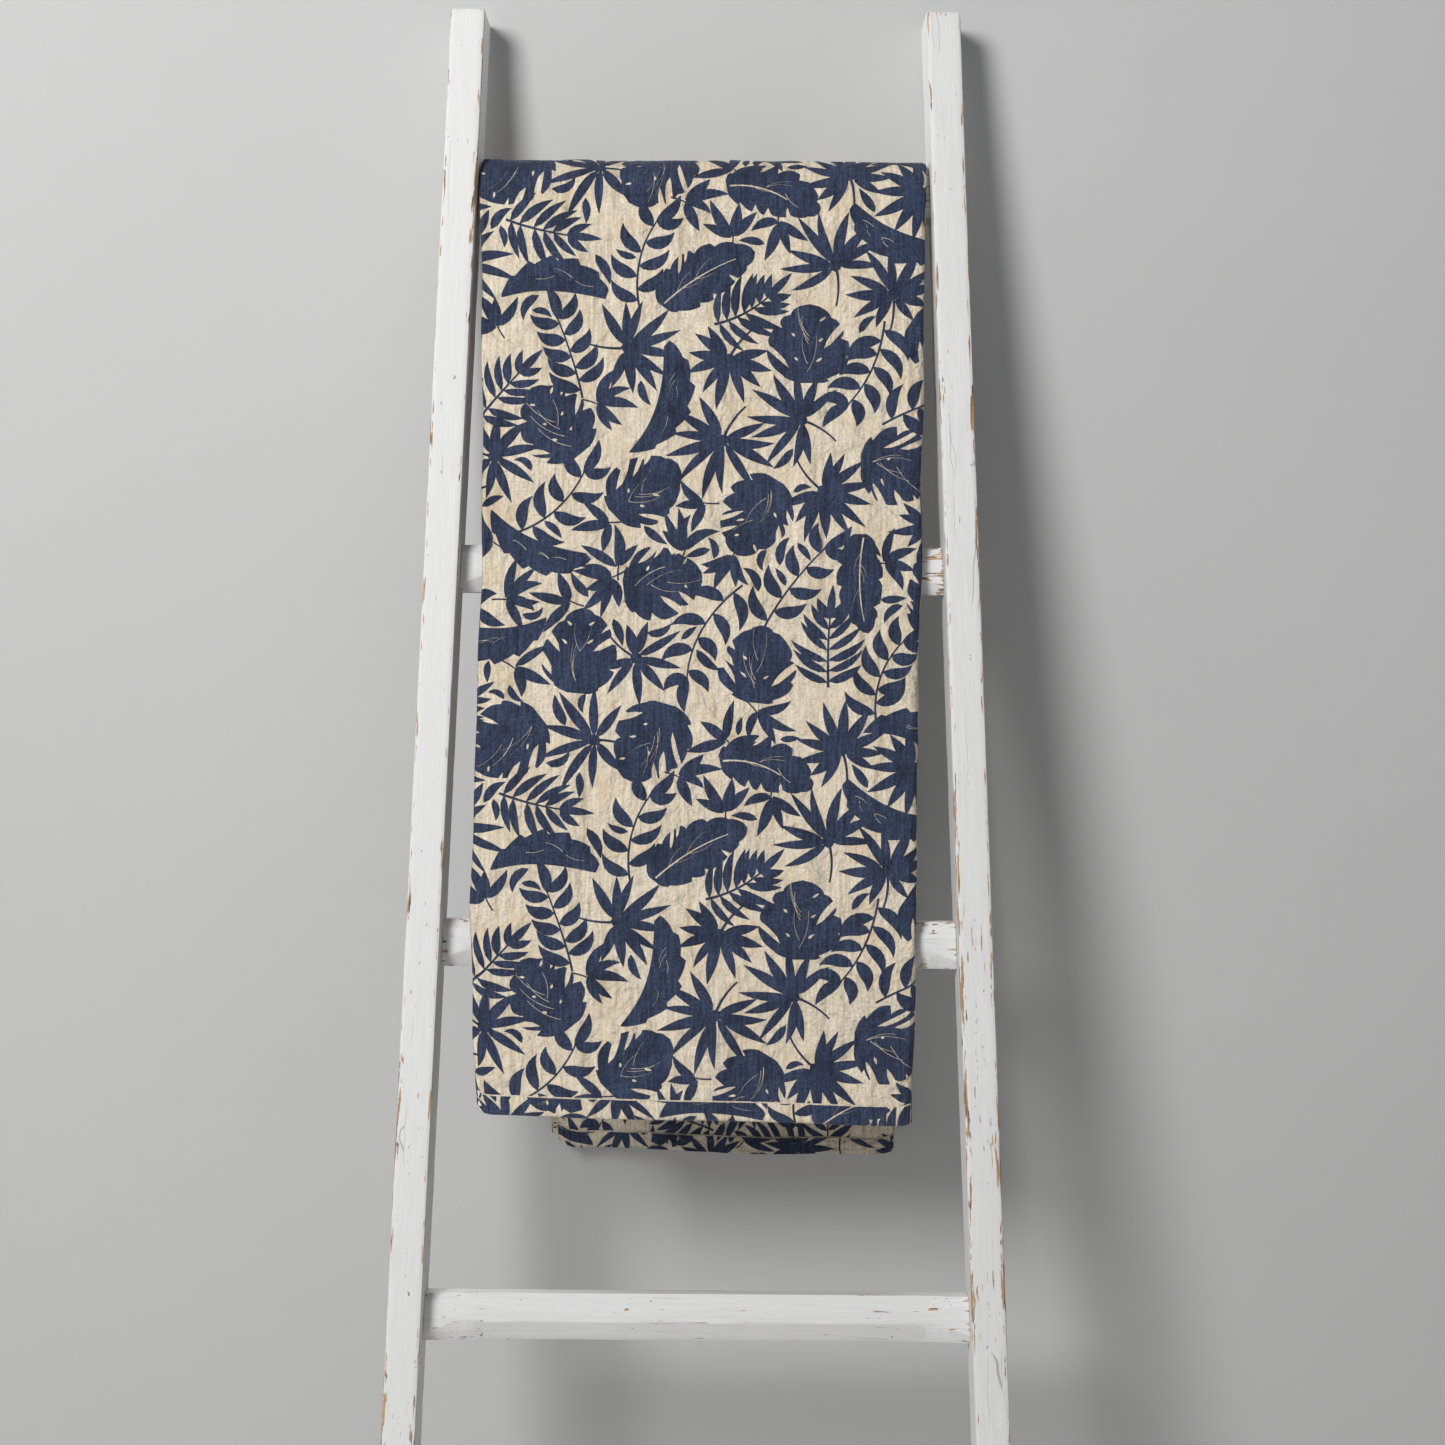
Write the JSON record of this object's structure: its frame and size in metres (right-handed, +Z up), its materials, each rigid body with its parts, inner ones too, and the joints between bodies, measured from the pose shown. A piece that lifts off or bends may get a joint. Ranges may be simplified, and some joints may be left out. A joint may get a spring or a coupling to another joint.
{
  "type": "quilt on a blanket ladder",
  "caption": "Tapered wooden blanket ladder leaning on a wall, with a folded patterned quilt draped over its top rung.",
  "frame": {"origin": "on the floor, under the middle of the leaning ladder's box", "axes": "+Z up, +X to the right as seen from the front, +Y towards the wall it leans on"},
  "size_m": [0.657, 0.4714, 1.7903],
  "materials": {
    "painted_wood": "chalky white paint, worn through at the edges",
    "screw_steel": "zinc plated",
    "quilt_cloth": "quilted cotton, dark blue leaf print on oatmeal",
    "binding_cloth": "printed cotton edge binding"
  },
  "bodies": {
    "rack": {"rail_left": "painted_wood", "rail_right": "painted_wood", "rung_1": "painted_wood", "rung_2": "painted_wood", "rung_3": "painted_wood", "rung_4": "painted_wood", "rung_5": "painted_wood", "screw_1_left": "screw_steel", "screw_1_right": "screw_steel", "screw_2_left": "screw_steel", "screw_2_right": "screw_steel", "screw_3_left": "screw_steel", "screw_3_right": "screw_steel", "screw_4_left": "screw_steel", "screw_4_right": "screw_steel", "screw_5_left": "screw_steel", "screw_5_right": "screw_steel"},
    "quilt": {"quilt": "quilt_cloth", "binding_front": "binding_cloth", "binding_rear": "binding_cloth"}
  },
  "joints": [
    {"name": "quilt_lift", "type": "slide", "parent": "rack", "child": "quilt", "axis": [0, 0, 1], "range_m": [0, 1.25]}
  ]
}
